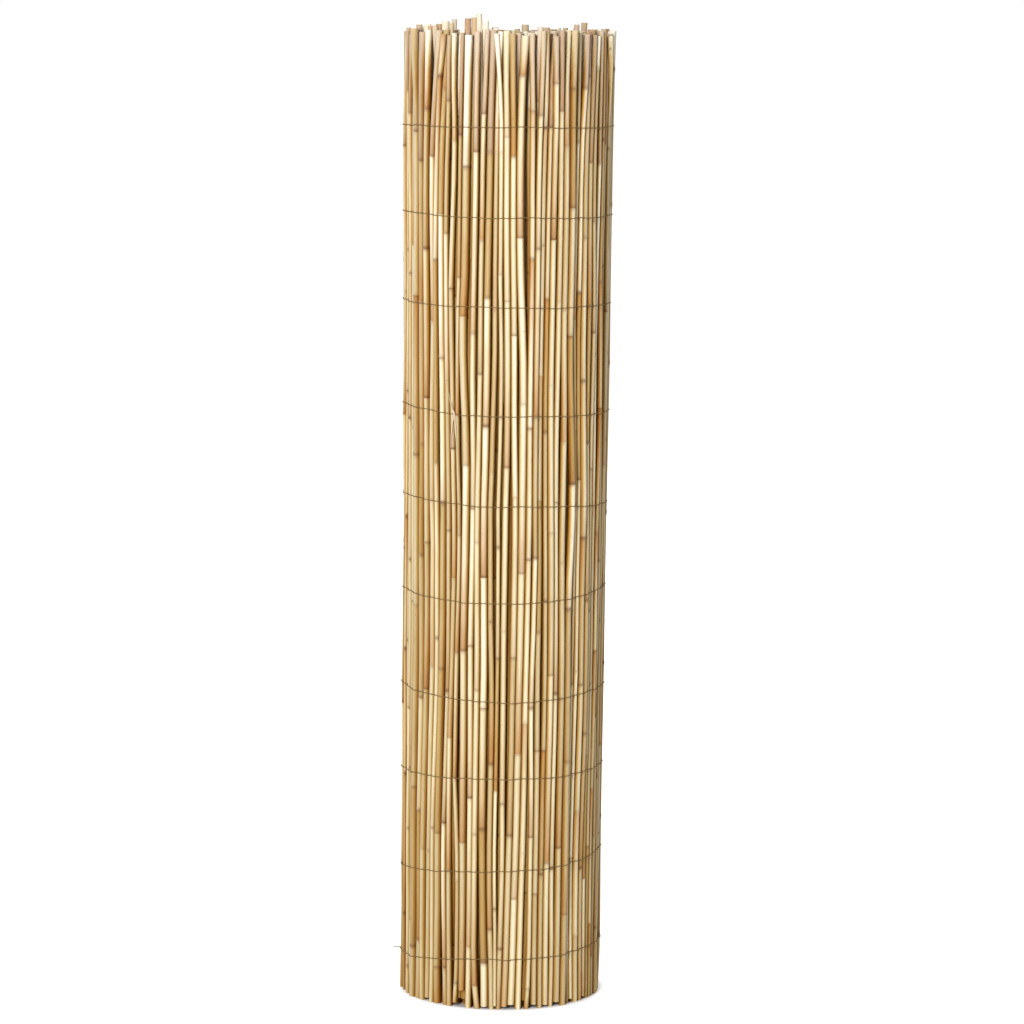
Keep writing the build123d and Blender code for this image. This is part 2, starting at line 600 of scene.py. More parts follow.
# Sides of a reed, rings at its joints and steps between them, for the outer, second and inner turns
OUTER_DETAIL = (12, JOINT_RINGS, 4)
SECOND_DETAIL = (10, PLAIN_JOINT_RINGS, 3)
INNER_DETAIL = (8, (), 1)
# Least painted shade on a reed, which darkens the inner turns all over as their shade, and the length below
# its rim over which the painted shade fades out
OUTER_PAINTED_SHADE = (0.0, 40 * MM)
INNER_PAINTED_SHADE = (0.75, 160 * MM)
# How fast the painted shade grows from a reed's crest round to its flanks
PAINTED_SHADE_REACH = 1.5
WALL_SHARE = 0.62
HOLLOW_TAPER = 0.9
HOLLOW_DEPTH = 14 * MM
HOLLOW_RINGS = 2
OVALNESS = 0.03
VALUE_NAMES = ("ring", "tone", "stain", "sheath", "blush")
SKIN, SAWN = 0, 1
SHARP_ANGLE = math.radians(55)


def stretch_rings(low, high, joint_rings, steps, is_first, is_last):
    """Rows of height, swelling and ring darkness for the stretch between two knots."""
    rings = [(low + z, swell, dark) for z, swell, dark, above in joint_rings if above]
    if is_first:
        rings = [(low, 1.0, 0.0)]
    rings += [(low + (high - low) * step / steps, 1.0, 0.0) for step in range(1, steps)]
    if is_last:
        rings.append((high, 1.0, 0.0))
    else:
        rings += [(high + z, swell, dark) for z, swell, dark, above in joint_rings if not above]
    return rings


def reed_rings(reed, joint_rings, steps):
    """Rows of height, swelling and colour values along a reed, from foot to top."""
    knots = reed.knot_heights()
    last = len(knots) - 2
    rows = []
    for number, (low, high) in enumerate(zip(knots, knots[1:])):
        blush = reed.blush if number == last else 0.0
        rings = stretch_rings(low, high, joint_rings, steps, number == 0, number == last)
        for height, swell, dark in rings:
            from_joint = (height - low) / (high - low)
            sheath = from_joint if reed.upside_down else 1 - from_joint
            mark = dark * reed.ring_marks[number]
            rows.append((height, swell, mark, reed.tones[number], reed.stains[number], sheath, blush))
    return np.array(rows)


def with_hollow_ends(values, foot, top):
    """Add rows for the sawn wall and the hollow at both ends of a reed."""
    return np.concatenate([foot, values, top])


def reeds_mesh(name, mat, reeds, detail, painted_shade_limits):
    """One mesh of hollow reeds that carries the values for their colours and their painted shade."""
    sides, joint_rings, steps = detail
    least_painted_shade, shade_free_tip = painted_shade_limits
    around = np.arange(sides) * math.tau / sides
    # Painted shade round each reed: none on its outer crest, growing over its flanks to full on its inner
    # side
    painted_shade_by_side = np.clip(PAINTED_SHADE_REACH * (1 - np.cos(around)), 0, 1)
    points = []
    values = {key: [] for key in (*VALUE_NAMES, "painted_shade")}
    faces = []
    face_materials = []
    start = 0
    for reed in reeds:
        rows = reed_rings(reed, joint_rings, steps)
        line, outward, sideways = reed_line(mat, reed, rows[:, 0])
        half = reed.half_widths(rows[:, 0]) * rows[:, 1]
        drop = np.array((0, 0, HOLLOW_DEPTH))
        line = with_hollow_ends(line, [line[0] + drop, line[0]], [line[-1], line[-1] - drop])
        bores = half[[0, -1]] * WALL_SHARE
        ends = bores * HOLLOW_TAPER
        half = with_hollow_ends(half, [ends[0], bores[0]], [bores[1], ends[1]])
        rows, outward, sideways = (
            with_hollow_ends(array, array[[0] * HOLLOW_RINGS], array[[-1] * HOLLOW_RINGS])
            for array in (rows, outward, sideways)
        )
        oval = 1 + OVALNESS * np.cos(2 * around + reed.along / reed.half_width)
        across = half[:, None] * oval
        ring_points = (
            line[:, None, :]
            + (across * np.cos(around))[:, :, None] * outward[:, None, :]
            + (across * np.sin(around))[:, :, None] * sideways[:, None, :]
        )
        points.append(ring_points.reshape(-1, 3))
        for number, key in enumerate(VALUE_NAMES):
            values[key].append(np.repeat(rows[:, number + 2], sides))
        # Painted shade: the greater of the side shade and the turn's least share, fading out towards the
        # rim
        shade_below_rim = np.clip((mat.rim_height - rows[:, :1]) / shade_free_tip, 0, 1)
        painted_shade = np.maximum(painted_shade_by_side, least_painted_shade) * shade_below_rim
        values["painted_shade"].append(painted_shade.reshape(-1))
        faces += tube_faces(start, len(rows), sides)
        sawn = [SAWN] * (HOLLOW_RINGS * sides)
        skin = [SKIN] * ((len(rows) - 1 - 2 * HOLLOW_RINGS) * sides)
        face_materials += [*sawn, *skin, *sawn, SAWN, SAWN]
        start += len(rows) * sides
    mesh = finished_mesh(name, np.concatenate(points), faces)
    for key, parts in values.items():
        layer = mesh.attributes.new(key, "FLOAT", "POINT")
        layer.data.foreach_set("value", np.concatenate(parts).astype(np.float32))
    mesh.polygons.foreach_set("material_index", face_materials)
    return mesh


def tube_faces(start, rings, sides):
    """Faces of a closed tube whose rings of points follow each other."""
    faces = []
    for low in range(start, start + (rings - 1) * sides, sides):
        for number in range(sides):
            after = (number + 1) % sides
            faces.append((low + number, low + after, low + sides + after, low + sides + number))
    last = start + (rings - 1) * sides
    faces.append(tuple(start + number for number in reversed(range(sides))))
    faces.append(tuple(last + number for number in range(sides)))
    return faces


def finished_mesh(name, points, faces):
    """Smooth mesh with sharp edges where it turns a corner."""
    mesh = bpy.data.meshes.new(name)
    mesh.from_pydata(points.tolist(), [], faces)
    mesh.polygons.foreach_set("use_smooth", [True] * len(faces))
    mesh.set_sharp_from_angle(angle=SHARP_ANGLE)
    mesh.update()
    return mesh


def add_piece(name, mesh, materials, nodes):
    """Make a piece of the object from a mesh, and hide the CAD nodes it stands for."""
    piece = bpy.data.objects.new(name, mesh)
    bpy.context.scene.collection.objects.link(piece)
    for material in materials:
        mesh.materials.append(material)
    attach(piece, BODY)
    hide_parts(*nodes)


# Binding wire

# Lift of each row's left and right end above its middle in millimetres, from the lowest row up
LEFT_LIFTS = (-12, -11, -4, 6, 4, 4, 5, 1, 2, -1)
RIGHT_LIFTS = (3, 9, 2, 6, 8, -5, -2, -1, -1, -1)
WIRE_WAVES = (5, 11, 23)
WIRE_STEP = 1.2 * MM
WIRE_SIDES = 8
WIRE_SPAN = 3.4 * MM
WIRE_DIP = 0.7 * MM
CREST_REACH = 20 * MM
JOINT_SWELLING = 1.05
TAIL_SHARES = (1.0, 0.66, 0.33)


def wire_heights(row, height, angles, rng, wave):
    """Height of a row of wire at directions round the roll."""
    from_front = angles - FRONT
    left = np.clip(-np.sin(from_front), 0, 1) ** 2
    right = np.clip(np.sin(from_front), 0, 1) ** 2
    heights = height + (LEFT_LIFTS[row] * left + RIGHT_LIFTS[row] * right) * MM
    for cycles in WIRE_WAVES:
        ripple = np.sin(cycles * from_front + rng.uniform(0, math.tau))
        heights = heights + wave * ripple / math.sqrt(cycles / WIRE_WAVES[0])
    return heights


def outer_crests(mat, outer, turn_angles, heights, room):
    """Radius that clears the reeds of the outer turn by some room, at turn angles and heights."""
    crests = np.zeros(len(turn_angles))
    angles = turn_angles + mat.end_direction
    for reed in outer:
        near = np.abs(turn_angles - reed.turn_angle) * reed.radius < CREST_REACH
        points, _, _ = reed_line(mat, reed, heights[near])
        radius = np.hypot(points[:, 0], points[:, 1])
        turned = angles[near] - np.arctan2(points[:, 1], points[:, 0])
        aside = np.abs(turned - math.tau * np.round(turned / math.tau)) * radius
        reach = reed.half_widths(heights[near]) * JOINT_SWELLING + room
        over = np.where(aside < reach, radius + np.sqrt(np.maximum(reach**2 - aside**2, 0)), 0)
        crests[near] = np.maximum(crests[near], over)
    return crests


def wire_path(mat, outer, row, height, wire, rng):
    """Points of one row of wire, laid over the reeds of the outer turn."""
    first, last = outer[0].turn_angle, outer[-1].turn_angle
    count = int((last - first) * outer[0].radius / WIRE_STEP)
    turn_angles = np.linspace(first, last, count)
    angles = turn_angles + mat.end_direction
    heights = wire_heights(row, height, angles, rng, wire.wave)
    crests = outer_crests(mat, outer, turn_angles, heights, wire.width / 2)
    window = int(WIRE_SPAN / WIRE_STEP)
    spread = np.pad(crests, window, mode="edge")
    bridged = np.max([spread[k : k + count] for k in range(2 * window + 1)], axis=0) - WIRE_DIP
    even = np.ones(2 * window + 1) / (2 * window + 1)
    radius = np.maximum(crests, np.convolve(np.pad(bridged, window, mode="edge"), even, mode="valid"))
    return np.stack([radius * np.cos(angles), radius * np.sin(angles), heights], axis=1)


def wire_mesh(name, path, width):
    """Round wire along a row of points."""
    around = np.arange(WIRE_SIDES) * math.tau / WIRE_SIDES
    along = np.gradient(path, axis=0)
    along /= np.linalg.norm(along, axis=1)[:, None]
    side = np.cross(along, (0.0, 0.0, 1.0))
    side /= np.linalg.norm(side, axis=1)[:, None]
    up = np.cross(side, along)
    round_side = np.cos(around)[None, :, None] * side[:, None, :]
    round_up = np.sin(around)[None, :, None] * up[:, None, :]
    points = path[:, None, :] + width / 2 * (round_side + round_up)
    return finished_mesh(name, points.reshape(-1, 3), tube_faces(0, len(path), WIRE_SIDES))


# Split leaf sheath

# Slivers of the sheath: degrees from the front, then height, stand off and width in millimetres
SHEATH_SLIVERS = (
    (
        (-34.2, 637, 0.2, 0.5),
        (-33.2, 631, 1.4, 0.9),
        (-31.6, 624, 2.0, 1.3),
        (-30.7, 617, 1.3, 2.6),
        (-30.6, 611, 0.4, 2.4),
    ),
    ((-31.0, 613, 0.5, 1.9), (-31.5, 604, 0.9, 1.6), (-32.1, 593, 0.7, 1.2), (-32.5, 581, 0.1, 0.5)),
    ((-30.0, 612, 0.5, 1.9), (-29.4, 603, 1.2, 1.7), (-28.9, 592, 1.0, 1.3), (-28.6, 579, 0.2, 0.5)),
)
SLIVER_THICKNESS = 0.5 * MM
SLIVER_SIDES = 8
SLIVER_STEPS = 6


def sliver_points(mat, outer, sliver):
    """Rings of points along one sliver of the sheath."""
    keys = np.array(sliver)
    steps = np.linspace(0, len(keys) - 1, SLIVER_STEPS * (len(keys) - 1) + 1)
    degrees, height, stand_off, width = (np.interp(steps, range(len(keys)), column) for column in keys.T)
    direction = FRONT + np.radians(degrees)
    turn_angles = (direction - mat.end_direction) % math.tau
    radius = outer_crests(mat, outer, turn_angles, height * MM, SLIVER_THICKNESS)
    even = np.ones(SLIVER_STEPS + 1) / (SLIVER_STEPS + 1)
    smooth = np.convolve(np.pad(radius, SLIVER_STEPS // 2, mode="edge"), even, mode="valid")
    radius = smooth + stand_off * MM
    around = np.arange(SLIVER_SIDES) * math.tau / SLIVER_SIDES
    outward = np.stack([np.cos(direction), np.sin(direction), np.zeros_like(direction)], axis=1)
    sideways = np.stack([-np.sin(direction), np.cos(direction), np.zeros_like(direction)], axis=1)
    middle = outward * radius[:, None]
    middle[:, 2] = height * MM
    across = np.cos(around)[None, :, None] * sideways[:, None, :] * (width * MM / 2)[:, None, None]
    thick = np.sin(around)[None, :, None] * outward[:, None, :] * SLIVER_THICKNESS / 2
    return (middle[:, None, :] + across + thick).reshape(-1, 3)


def sheath_mesh(name, mat, outer):
    """Thin slivers of a leaf sheath that has split and come loose."""
    points = []
    faces = []
    start = 0
    for sliver in SHEATH_SLIVERS:
        rings = sliver_points(mat, outer, sliver)
        faces += tube_faces(start, len(rings) // SLIVER_SIDES, SLIVER_SIDES)
        points.append(rings)
        start += len(rings)
    return finished_mesh(name, np.concatenate(points), faces)


# Materials

# Noise on the stalks: scale across and along them, and detail
FIBRE_NOISE = (900, 9, 3)
BLOTCH_NOISE = (120, 22, 2)
SPECK_NOISE = (600, 260, 2)
SHEATH_NOISE = (300, 40, 2)
RUST_NOISE = (160, 160, 3)
# Range of the noise that a mask takes from none to full, and the tint under the mask
FIBRE_RANGE = (0.35, 0.65)
BLOTCH_RANGE = (0.45, 0.68)
SPECK_RANGE = (0.70, 0.76)
FIBRE_TINT = (0.66, 0.56, 0.40)
BLOTCH_TINT = (0.74, 0.63, 0.44)
SPECK_TINT = (0.35, 0.27, 0.2)
ROUGHNESS_RANGE = (0.3, 0.7)
REED_ROUGHNESS = (0.36, 0.52)
BLOTCH_ROUGHNESS = 0.1
SPECK_HEIGHT = 0.2
GRAIN_DEPTH = 0.2 * MM
REED_SPECULAR = 0.07
# Strength of fibres, blotches, specks and relief
SKIN_GRAIN = (0.3, 0.3, 0.5, 0.25)
SAWN_GRAIN = (0.5, 0.4, 0.5, 0.3)
SHEATH_GRAIN = (0.4, 0.3, 0.3, 0.3)
# Places of the colours on their ramps, and strength of the layers over them
STRAW_TONE = 0.36
CREAM_TONE = 0.72
# Place of the flank's painted shade on its ramp, between none and the groove's
FLANK_SHADE_PLACE = 0.5
STAIN_FADE = 1.7
STAIN_STRENGTH = 0.85
BLUSH_STRENGTH = 0.8
RING_STRENGTH = 0.85
DULL_PITH = 0.7
# Wire
WIRE_ROUGHNESS = (0.55, 0.8)
WIRE_METALLIC = 0.15
WIRE_SPECULAR = 0.15


def new_material(name):
    """Node material with a Principled BSDF."""
    material = bpy.data.materials.new(name)
    material.use_nodes = True
    nodes = material.node_tree.nodes
    return material, nodes, material.node_tree.links, nodes["Principled BSDF"]


def feed(links, value, socket):
    """Lead a socket to another, or set a fixed number or colour on it."""
    if isinstance(value, bpy.types.NodeSocket):
        links.new(value, socket)
    elif isinstance(value, (int, float)):
        socket.default_value = value
    else:
        socket.default_value = (*value, 1)


def mix_color(nodes, links, amount, first, second, blend="MIX"):
    """Mix two colours, each a socket or a fixed colour."""
    mix = nodes.new("ShaderNodeMix")
    mix.data_type = "RGBA"
    mix.blend_type = blend
    feed(links, amount, mix.inputs["Factor"])
    feed(links, first, mix.inputs["A"])
    feed(links, second, mix.inputs["B"])
    return mix.outputs["Result"]


def calculate(nodes, links, operation, first, second):
    """Result of a sum, each value a socket or a fixed number."""
    node = nodes.new("ShaderNodeMath")
    node.operation = operation
    feed(links, first, node.inputs[0])
    feed(links, second, node.inputs[1])
    return node.outputs[0]


def remap(nodes, links, value, low, high, to_low, to_high):
    """Carry a value from one range over to another."""
    node = nodes.new("ShaderNodeMapRange")
    node.inputs["From Min"].default_value = low
    node.inputs["From Max"].default_value = high
    node.inputs["To Min"].default_value = to_low
    node.inputs["To Max"].default_value = to_high
    links.new(value, node.inputs["Value"])
    return node.outputs["Result"]


def stretched_noise(nodes, links, across, along, detail):
    """Noise that is drawn out along the reeds."""
    place = nodes.new("ShaderNodeTexCoord")
    stretch = nodes.new("ShaderNodeMapping")
    stretch.inputs["Scale"].default_value = (across, across, along)
    links.new(place.outputs["Object"], stretch.inputs["Vector"])
    texture = nodes.new("ShaderNodeTexNoise")
    texture.inputs["Scale"].default_value = 1.0
    texture.inputs["Detail"].default_value = detail
    links.new(stretch.outputs["Vector"], texture.inputs["Vector"])
    return texture.outputs["Fac"]


def attribute(nodes, name):
    """Value that the mesh carries under a name."""
    node = nodes.new("ShaderNodeAttribute")
    node.attribute_name = name
    return node.outputs["Fac"]


def stalk_grain_group():
    """Node group: long fibres, soft blotches and specks on a dry stalk."""
    name = "Stalk grain"
    if name in bpy.data.node_groups:
        return bpy.data.node_groups[name]
    group = bpy.data.node_groups.new(name, "ShaderNodeTree")
    group.interface.new_socket("Color", in_out="INPUT", socket_type="NodeSocketColor")
    for key in ("Fibre", "Blotch", "Speck"):
        group.interface.new_socket(key, in_out="INPUT", socket_type="NodeSocketFloat")
    group.interface.new_socket("Color", in_out="OUTPUT", socket_type="NodeSocketColor")
    group.interface.new_socket("Roughness", in_out="OUTPUT", socket_type="NodeSocketFloat")
    group.interface.new_socket("Height", in_out="OUTPUT", socket_type="NodeSocketFloat")
    nodes, links = group.nodes, group.links
    given = nodes.new("NodeGroupInput").outputs
    result = nodes.new("NodeGroupOutput").inputs
    fibres = stretched_noise(nodes, links, *FIBRE_NOISE)
    blotches = stretched_noise(nodes, links, *BLOTCH_NOISE)
    specks = stretched_noise(nodes, links, *SPECK_NOISE)
    fibre_mask = remap(nodes, links, fibres, *FIBRE_RANGE, 0, 1)
    blotch_mask = remap(nodes, links, blotches, *BLOTCH_RANGE, 0, 1)
    speck_mask = remap(nodes, links, specks, *SPECK_RANGE, 0, 1)
    color = given["Color"]
    for mask, key, tint in (
        (fibre_mask, "Fibre", FIBRE_TINT),
        (blotch_mask, "Blotch", BLOTCH_TINT),
        (speck_mask, "Speck", SPECK_TINT),
    ):
        amount = calculate(nodes, links, "MULTIPLY", mask, given[key])
        color = mix_color(nodes, links, amount, color, tint, "MULTIPLY")
    links.new(color, result["Color"])
    rough = remap(nodes, links, fibres, *ROUGHNESS_RANGE, *REED_ROUGHNESS)
    blotch_rough = calculate(nodes, links, "MULTIPLY", blotch_mask, BLOTCH_ROUGHNESS)
    links.new(calculate(nodes, links, "ADD", rough, blotch_rough), result["Roughness"])
    fine = calculate(nodes, links, "MULTIPLY", specks, SPECK_HEIGHT)
    links.new(calculate(nodes, links, "ADD", fibres, fine), result["Height"])
    return group


def place_grain(nodes, links, shader, color, strengths):
    """Put the stalk grain on a colour and lead it to the shader."""
    fibre, blotch, speck, bump = strengths
    grain = nodes.new("ShaderNodeGroup")
    grain.node_tree = stalk_grain_group()
    links.new(color, grain.inputs["Color"])
    grain.inputs["Fibre"].default_value = fibre
    grain.inputs["Blotch"].default_value = blotch
    grain.inputs["Speck"].default_value = speck
    links.new(grain.outputs["Color"], shader.inputs["Base Color"])
    links.new(grain.outputs["Roughness"], shader.inputs["Roughness"])
    shader.inputs["Specular IOR Level"].default_value = REED_SPECULAR
    relief = nodes.new("ShaderNodeBump")
    relief.inputs["Strength"].default_value = bump
    relief.inputs["Distance"].default_value = GRAIN_DEPTH
    links.new(grain.outputs["Height"], relief.inputs["Height"])
    links.new(relief.outputs["Normal"], shader.inputs["Normal"])


def tone_ramp(nodes, links, finish):
    """Skin colour from tan to bleached by the reed's tone."""
    ramp = nodes.new("ShaderNodeValToRGB")
    elements = ramp.color_ramp.elements
    elements[0].color = (*finish.tan, 1)
    elements[1].color = (*finish.bleached, 1)
    elements.new(STRAW_TONE).color = (*finish.straw, 1)
    elements.new(CREAM_TONE).color = (*finish.cream, 1)
    links.new(attribute(nodes, "tone"), ramp.inputs["Fac"])
    return ramp.outputs["Color"]


def painted_shade_ramp(nodes, links, finish):
    """Painted shade: brown multiplied onto the flanks of the reeds and deep between them, where shade
    falls.
    """
    ramp = nodes.new("ShaderNodeValToRGB")
    elements = ramp.color_ramp.elements
    elements[0].color = (1, 1, 1, 1)
    elements[1].color = (*finish.groove_painted_shade, 1)
    elements.new(FLANK_SHADE_PLACE).color = (*finish.flank_painted_shade, 1)
    links.new(attribute(nodes, "painted_shade"), ramp.inputs["Fac"])
    return ramp.outputs["Color"]


def nearness_to_foot(nodes, links):
    """One at the foot of the roll, zero at its rim."""
    place = nodes.new("ShaderNodeTexCoord")
    apart = nodes.new("ShaderNodeSeparateXYZ")
    links.new(place.outputs["Object"], apart.inputs["Vector"])
    return remap(nodes, links, apart.outputs["Z"], 0, cad_high.z, 1, 0)


def reed_skin(finish):
    """Skin of a dry reed: a tone for each stretch, sheath stains, joint rings, painted shade on the flanks
    and between reeds, and grain.
    """
    name = "Reed skin"
    if name in bpy.data.materials:
        return bpy.data.materials[name]
    material, nodes, links, shader = new_material(name)
    color = tone_ramp(nodes, links, finish)
    near_joint = calculate(nodes, links, "POWER", attribute(nodes, "sheath"), STAIN_FADE)
    stain = calculate(nodes, links, "MULTIPLY", near_joint, attribute(nodes, "stain"))
    for amount, strength, layer in (
        (stain, STAIN_STRENGTH, finish.sheath_stain),
        (attribute(nodes, "blush"), BLUSH_STRENGTH, finish.rim_blush),
        (attribute(nodes, "ring"), RING_STRENGTH, finish.joint_ring),
    ):
        color = mix_color(nodes, links, calculate(nodes, links, "MULTIPLY", amount, strength), color, layer)
    color = mix_color(nodes, links, nearness_to_foot(nodes, links), color, finish.foot_tint, "MULTIPLY")
    # Painted shade: the flanks and the grooves between reeds darkened in the colour
    color = mix_color(nodes, links, 1.0, color, painted_shade_ramp(nodes, links, finish), "MULTIPLY")
    place_grain(nodes, links, shader, color, SKIN_GRAIN)
    return material


def sawn_end(finish):
    """Dull pith of a sawn reed."""
    name = "Sawn reed end"
    if name in bpy.data.materials:
        return bpy.data.materials[name]
    material, nodes, links, shader = new_material(name)
    dull = tuple(DULL_PITH * channel for channel in finish.pith)
    color = mix_color(nodes, links, attribute(nodes, "tone"), dull, tuple(finish.pith))
    place_grain(nodes, links, shader, color, SAWN_GRAIN)
    return material


def dry_sheath(finish):
    """Papery skin of a split leaf sheath."""
    material, nodes, links, shader = new_material("Dry sheath")
    patches = stretched_noise(nodes, links, *SHEATH_NOISE)
    color = mix_color(nodes, links, patches, tuple(finish.sheath_skin), tuple(finish.straw))
    place_grain(nodes, links, shader, color, SHEATH_GRAIN)
    return material


def wire_steel(wire):
    """Dull annealed wire with faint rust."""
    material, nodes, links, shader = new_material("Binding wire")
    rust = stretched_noise(nodes, links, *RUST_NOISE)
    color = mix_color(nodes, links, rust, tuple(wire.steel), tuple(wire.rust))
    links.new(color, shader.inputs["Base Color"])
    links.new(remap(nodes, links, rust, 0, 1, *WIRE_ROUGHNESS), shader.inputs["Roughness"])
    shader.inputs["Metallic"].default_value = WIRE_METALLIC
    shader.inputs["Specular IOR Level"].default_value = WIRE_SPECULAR
    return material


# Operators


class REEDFENCE_OT_outer_turn(bpy.types.Operator):
    """Build the hollow reeds of the outer turn"""

    bl_idname = "reedfence.outer_turn"
    bl_label = "Outer turn"

    def execute(self, context):
        settings = context.scene.reed_fence
        reeds = lay_out_reeds(settings.mat)[0]
        mesh = reeds_mesh("outer_turn_reeds", settings.mat, reeds, OUTER_DETAIL, OUTER_PAINTED_SHADE)
        materials = [reed_skin(settings.finish), sawn_end(settings.finish)]
        add_piece("outer_turn_reeds", mesh, materials, [MAT_NODE])
        return {"FINISHED"}


class REEDFENCE_OT_inner_turns(bpy.types.Operator):
    """Build the reeds of the turns inside the outer one"""

    bl_idname = "reedfence.inner_turns"
    bl_label = "Inner turns"

    def execute(self, context):
        settings = context.scene.reed_fence
        turns = lay_out_reeds(settings.mat)
        materials = [reed_skin(settings.finish), sawn_end(settings.finish)]
        inner = [reed for turn in turns[2:] for reed in turn]
        for name, reeds, detail in (
            ("second_turn_reeds", turns[1], SECOND_DETAIL),
            ("inner_turn_reeds", inner, INNER_DETAIL),
        ):
            mesh = reeds_mesh(name, settings.mat, reeds, detail, INNER_PAINTED_SHADE)
            add_piece(name, mesh, materials, [MAT_NODE])
        return {"FINISHED"}


class REEDFENCE_OT_binding_wires(bpy.types.Operator):
    """Lay the rows of wire over the outer turn"""

    bl_idname = "reedfence.binding_wires"
    bl_label = "Binding wires"

    def execute(self, context):
        settings = context.scene.reed_fence
        outer = lay_out_reeds(settings.mat)[0]
        rng = random.Random(settings.mat.seed + 1)
        material = wire_steel(settings.wire)
        for row, node in enumerate(WIRE_NODES):
            low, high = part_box(node)
            path = wire_path(settings.mat, outer, row, (low.z + high.z) / 2, settings.wire, rng)
            if row == 0:
                outward = path[0] * (1, 1, 0) / np.hypot(path[0][0], path[0][1])
                tail = [path[0] + outward * settings.wire.tail * share for share in TAIL_SHARES]
                path = np.concatenate([tail, path])
            mesh = wire_mesh(node + "_strand", path, settings.wire.width)
            add_piece(node + "_strand", mesh, [material], [node])
        return {"FINISHED"}


class REEDFENCE_OT_split_sheath(bpy.types.Operator):
    """Lay the slivers of a split leaf sheath on the outer turn"""

    bl_idname = "reedfence.split_sheath"
    bl_label = "Split sheath"

    def execute(self, context):
        settings = context.scene.reed_fence
        outer = lay_out_reeds(settings.mat)[0]
        mesh = sheath_mesh("split_sheath", settings.mat, outer)
        add_piece("split_sheath", mesh, [dry_sheath(settings.finish)], [MAT_NODE])
        return {"FINISHED"}


class REEDFENCE_OT_stage(bpy.types.Operator):
    """Set up the floor, the light and the camera"""

    bl_idname = "reedfence.stage"
    bl_label = "Stage"

    def execute(self, context):
        scene = context.scene
        stage = scene.reed_fence.stage
        scene.view_settings.view_transform = "Standard"
        add_floor()
        light_world(scene, stage.ambient)
        add_area_light("Key light", KEY_PLACE, KEY_SIZE, stage.key_power)
        add_area_light("Fill light", FILL_PLACE, FILL_SIZE, stage.fill_power)
        add_area_light("Back light", BACK_PLACE, BACK_SIZE, stage.back_power)
        add_camera(scene, stage)
        return {"FINISHED"}


# Stage

KEY_PLACE = (-1.55, -4.25, 1.9)
KEY_SIZE = (1.2, 2.2)
FILL_PLACE = (3.9, -1.9, 1.3)
FILL_SIZE = (1.6, 2.6)
BACK_PLACE = (0.5, 3.7, 2.9)
BACK_SIZE = (2.2, 1.6)
LIGHT_AIM = (0, 0, 0.5)
FLOOR_REACH = 80.0
FLOOR_COLOR = (0.6, 0.6, 0.6, 1)
FLOOR_ROUGHNESS = 0.9
# Distance from the axis over which the floor turns white, first under the roll and then round it: its glow
# is cut under the roll's foot, a painted dark ring of contact shade, and dimmed near the roll, painted
# shade that lets the real shadow show
PAINTED_FOOT_SHADE_EDGE = (0.098, 0.112)
SHADOW_REACH = (0.2, 1.5)
SHADOW_WHITENESS = 0.82
SENSOR_WIDTH = 36
SIGHT_REACH = 300


def backdrop_seen(nodes, links):
    """One for rays that show the background by sight, gloss or glass, zero for those that give light."""
    path = nodes.new("ShaderNodeLightPath").outputs
    seen = calculate(nodes, links, "MAXIMUM", path["Is Camera Ray"], path["Is Glossy Ray"])
    return calculate(nodes, links, "MAXIMUM", seen, path["Is Transmission Ray"])


def add_floor():
    """White studio floor that shows the object's shadow, with painted shade where its glow is cut under the
    roll and dimmed near it.
    """
    mesh = bpy.data.meshes.new("studio_floor")
    corners = [(-FLOOR_REACH, -FLOOR_REACH, 0), (FLOOR_REACH, -FLOOR_REACH, 0)]
    corners += [(FLOOR_REACH, FLOOR_REACH, 0), (-FLOOR_REACH, FLOOR_REACH, 0)]
    mesh.from_pydata(corners, [], [(0, 1, 2, 3)])
    floor = bpy.data.objects.new("studio_floor", mesh)
    bpy.context.scene.collection.objects.link(floor)
    material, nodes, links, shader = new_material("White floor")
    shader.inputs["Base Color"].default_value = FLOOR_COLOR
    shader.inputs["Roughness"].default_value = FLOOR_ROUGHNESS
    shader.inputs["Specular IOR Level"].default_value = 0.0
    place = nodes.new("ShaderNodeTexCoord")
    distance = nodes.new("ShaderNodeVectorMath")
    distance.operation = "LENGTH"
    links.new(place.outputs["Object"], distance.inputs[0])
    # Painted shade: no glow under the roll's foot, and less near the roll
    painted_foot_shade_mask = remap(nodes, links, distance.outputs["Value"], *PAINTED_FOOT_SHADE_EDGE, 0.0, 1.0)
    apart = remap(nodes, links, distance.outputs["Value"], *SHADOW_REACH, SHADOW_WHITENESS, 1.0)
    whiteness = calculate(nodes, links, "MULTIPLY", painted_foot_shade_mask, apart)
    glow = nodes.new("ShaderNodeEmission")
    strength = calculate(nodes, links, "MULTIPLY", backdrop_seen(nodes, links), whiteness)
    links.new(strength, glow.inputs["Strength"])
    both = nodes.new("ShaderNodeAddShader")
    links.new(shader.outputs["BSDF"], both.inputs[0])
    links.new(glow.outputs["Emission"], both.inputs[1])
    links.new(both.outputs["Shader"], nodes["Material Output"].inputs["Surface"])
    mesh.materials.append(material)


def light_world(scene, ambient):
    """Soft even light from all round, seen as white."""
    world = bpy.data.worlds.new("White studio")
    scene.world = world
    world.use_nodes = True
    nodes, links = world.node_tree.nodes, world.node_tree.links
    background = nodes["Background"]
    background.inputs["Color"].default_value = (1, 1, 1, 1)
    strength = remap(nodes, links, backdrop_seen(nodes, links), 0, 1, ambient, 1.0)
    links.new(strength, background.inputs["Strength"])


def add_area_light(name, place, size, power):
    """Softbox that faces the middle of the roll."""
    light = bpy.data.lights.new(name, "AREA")
    light.shape = "RECTANGLE"
    light.size, light.size_y = size
    light.energy = power
    lamp = bpy.data.objects.new(name, light)
    lamp.location = place
    lamp.rotation_euler = (Vector(LIGHT_AIM) - Vector(place)).to_track_quat("-Z", "Y").to_euler()
    bpy.context.scene.collection.objects.link(lamp)


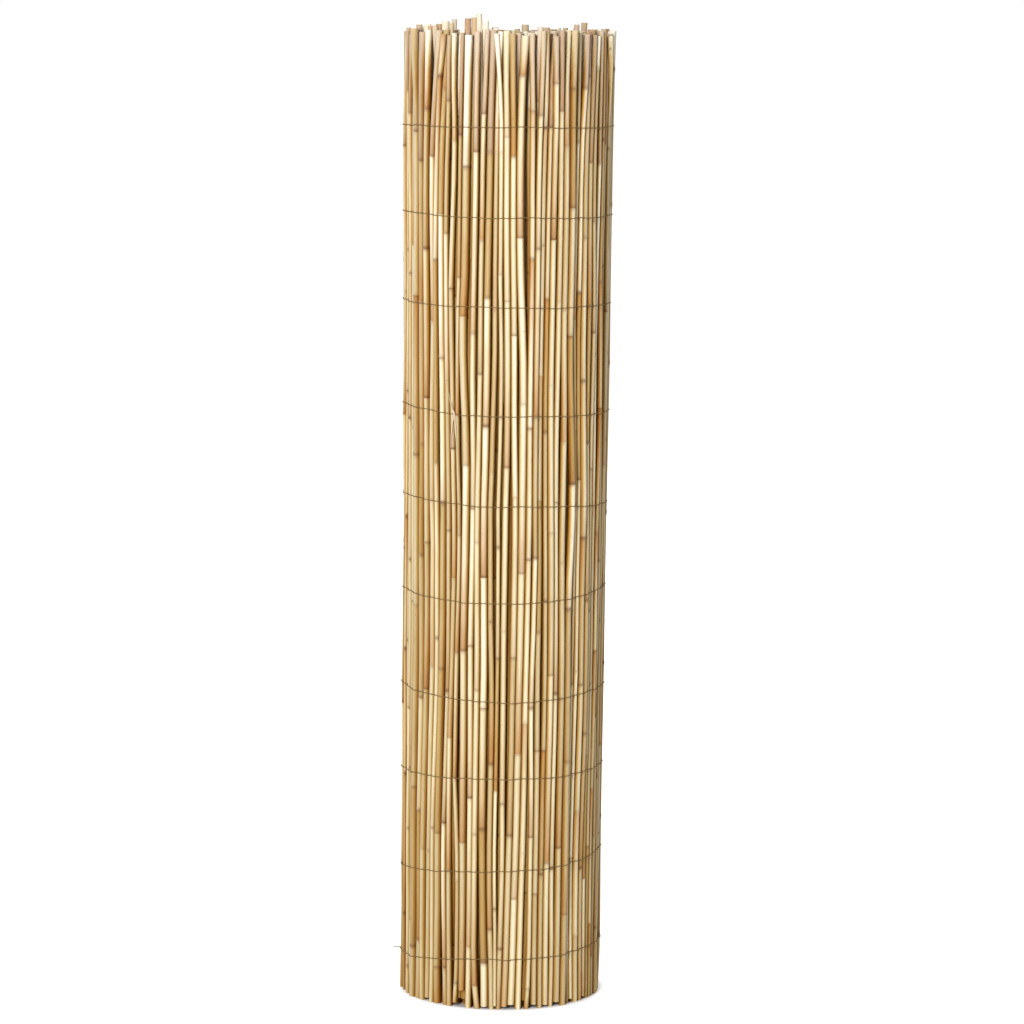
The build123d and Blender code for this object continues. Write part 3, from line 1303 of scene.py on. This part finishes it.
def add_camera(scene, stage):
    """Camera at the photograph's viewing angle."""
    data = bpy.data.cameras.new("Photograph view")
    data.sensor_width = SENSOR_WIDTH
    data.lens = stage.lens
    data.clip_end = SIGHT_REACH
    camera = bpy.data.objects.new("Photograph view", data)
    camera.location = (0, -stage.distance, stage.eye_height)
    look = (Vector((stage.aim_side, 0, stage.aim_height)) - camera.location).to_track_quat("-Z", "Y")
    camera.rotation_mode = "QUATERNION"
    camera.rotation_quaternion = look @ Quaternion((0, 0, 1), stage.tilt)
    scene.collection.objects.link(camera)
    scene.camera = camera


class REEDFENCE_PT_panel(bpy.types.Panel):
    """Settings and steps of the rolled reed fence"""

    bl_idname = "REEDFENCE_PT_panel"
    bl_label = "Reed fence"
    bl_space_type = "VIEW_3D"
    bl_region_type = "UI"
    bl_category = "Reed fence"

    def draw(self, context):
        settings = context.scene.reed_fence
        for group in (settings.mat, settings.finish, settings.wire, settings.stage):
            box = self.layout.box()
            for key in group.bl_rna.properties.keys():
                if key not in ("rna_type", "name"):
                    box.prop(group, key)
        for operator in OPERATORS:
            self.layout.operator(operator.bl_idname)


OPERATORS = (
    REEDFENCE_OT_outer_turn,
    REEDFENCE_OT_inner_turns,
    REEDFENCE_OT_binding_wires,
    REEDFENCE_OT_split_sheath,
    REEDFENCE_OT_stage,
)
CLASSES = (
    ReedMatSettings,
    ReedFinishSettings,
    WireSettings,
    StageSettings,
    ReedFenceSettings,
    *OPERATORS,
    REEDFENCE_PT_panel,
)


def register():
    """Register the classes and the scene's settings."""
    for item in CLASSES:
        bpy.utils.register_class(item)
    bpy.types.Scene.reed_fence = bpy.props.PointerProperty(type=ReedFenceSettings)


def unregister():
    """Remove what register added."""
    del bpy.types.Scene.reed_fence
    for item in reversed(CLASSES):
        bpy.utils.unregister_class(item)


def main():
    """Build the pieces and the stage."""
    register()
    bpy.ops.reedfence.outer_turn()
    bpy.ops.reedfence.inner_turns()
    bpy.ops.reedfence.binding_wires()
    bpy.ops.reedfence.split_sheath()
    bpy.ops.reedfence.stage()


if __name__ == "__main__":
    main()
